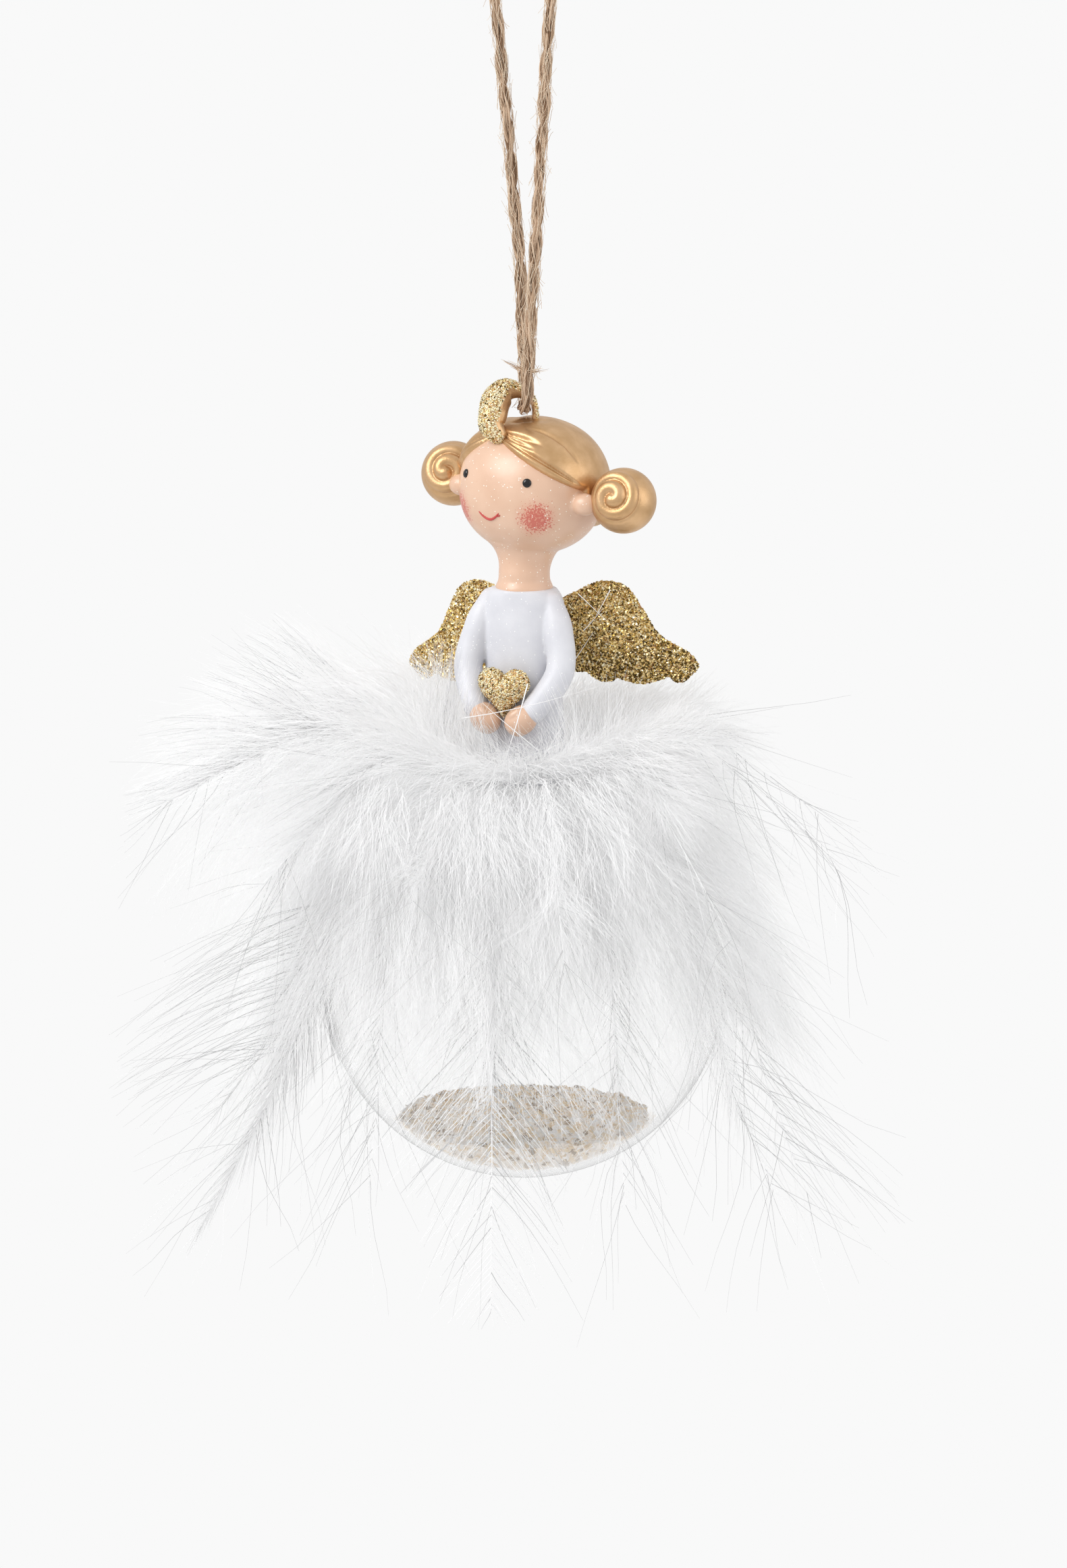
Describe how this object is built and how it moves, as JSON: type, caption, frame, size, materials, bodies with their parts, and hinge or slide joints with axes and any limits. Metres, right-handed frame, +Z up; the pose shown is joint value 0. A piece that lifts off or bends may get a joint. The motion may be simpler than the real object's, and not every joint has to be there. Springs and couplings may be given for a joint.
{
  "type": "hanging glass ball ornament with dancer figure",
  "caption": "Clear glass ball with loose glitter and a skirt of white feathers, topped by a painted resin dancer with gold wings that hangs from a twine loop.",
  "frame": {"origin": "inside top of the twine loop, where a hook or a branch carries the ornament", "axes": "+Z up along the hanging line, the figure's chest faces -Y and its left side is +X"},
  "size_m": [0.1021, 0.0864, 0.217],
  "materials": {
    "clear_glass": "clear blown glass",
    "loose_glitter": "loose metallic flakes",
    "white_resin": "satin paint on cast resin",
    "gold_glitter": "chunky gold glitter on cast resin",
    "gold_paint": "satin metallic gold paint on cast resin",
    "skin_paint": "satin paint on cast resin",
    "white_feather": "soft downy feather",
    "jute": "two-ply twisted jute"
  },
  "bodies": {
    "twine": {"twine_loop": "jute", "twine_knot": "jute"},
    "ornament": {"glass_ball": "clear_glass", "bodice": "white_resin", "heart": "gold_glitter", "left_sleeve": "white_resin", "right_sleeve": "white_resin", "left_hand": "skin_paint", "right_hand": "skin_paint", "left_wing": "gold_glitter", "right_wing": "gold_glitter", "head": "skin_paint", "hair_cap": "gold_paint", "left_bun": "gold_paint", "right_bun": "gold_paint", "crown_curl": "gold_glitter", "feather_low_01": "white_feather", "feather_low_02": "white_feather", "feather_low_03": "white_feather", "feather_low_04": "white_feather", "feather_low_05": "white_feather", "feather_low_06": "white_feather", "feather_low_07": "white_feather", "feather_low_08": "white_feather", "feather_low_09": "white_feather", "feather_low_10": "white_feather", "feather_low_11": "white_feather", "feather_top_01": "white_feather", "feather_top_02": "white_feather", "feather_top_03": "white_feather", "feather_top_04": "white_feather", "feather_top_05": "white_feather", "feather_top_06": "white_feather", "feather_top_07": "white_feather", "feather_top_08": "white_feather", "feather_top_09": "white_feather", "feather_top_10": "white_feather", "feather_top_11": "white_feather"},
    "fill": {"glitter_fill": "loose_glitter"}
  },
  "joints": [
    {"name": "ornament_swing", "type": "hinge", "parent": "twine", "child": "ornament", "pos_m": [0, 0, -0.074], "axis": [0.4226, -0.9063, 0], "range_deg": [-30, 30]},
    {"name": "glitter_slide", "type": "hinge", "parent": "ornament", "child": "fill", "pos_m": [0, 0, -0.15845], "axis": [0.4226, -0.9063, 0], "range_deg": [-35, 35]}
  ]
}
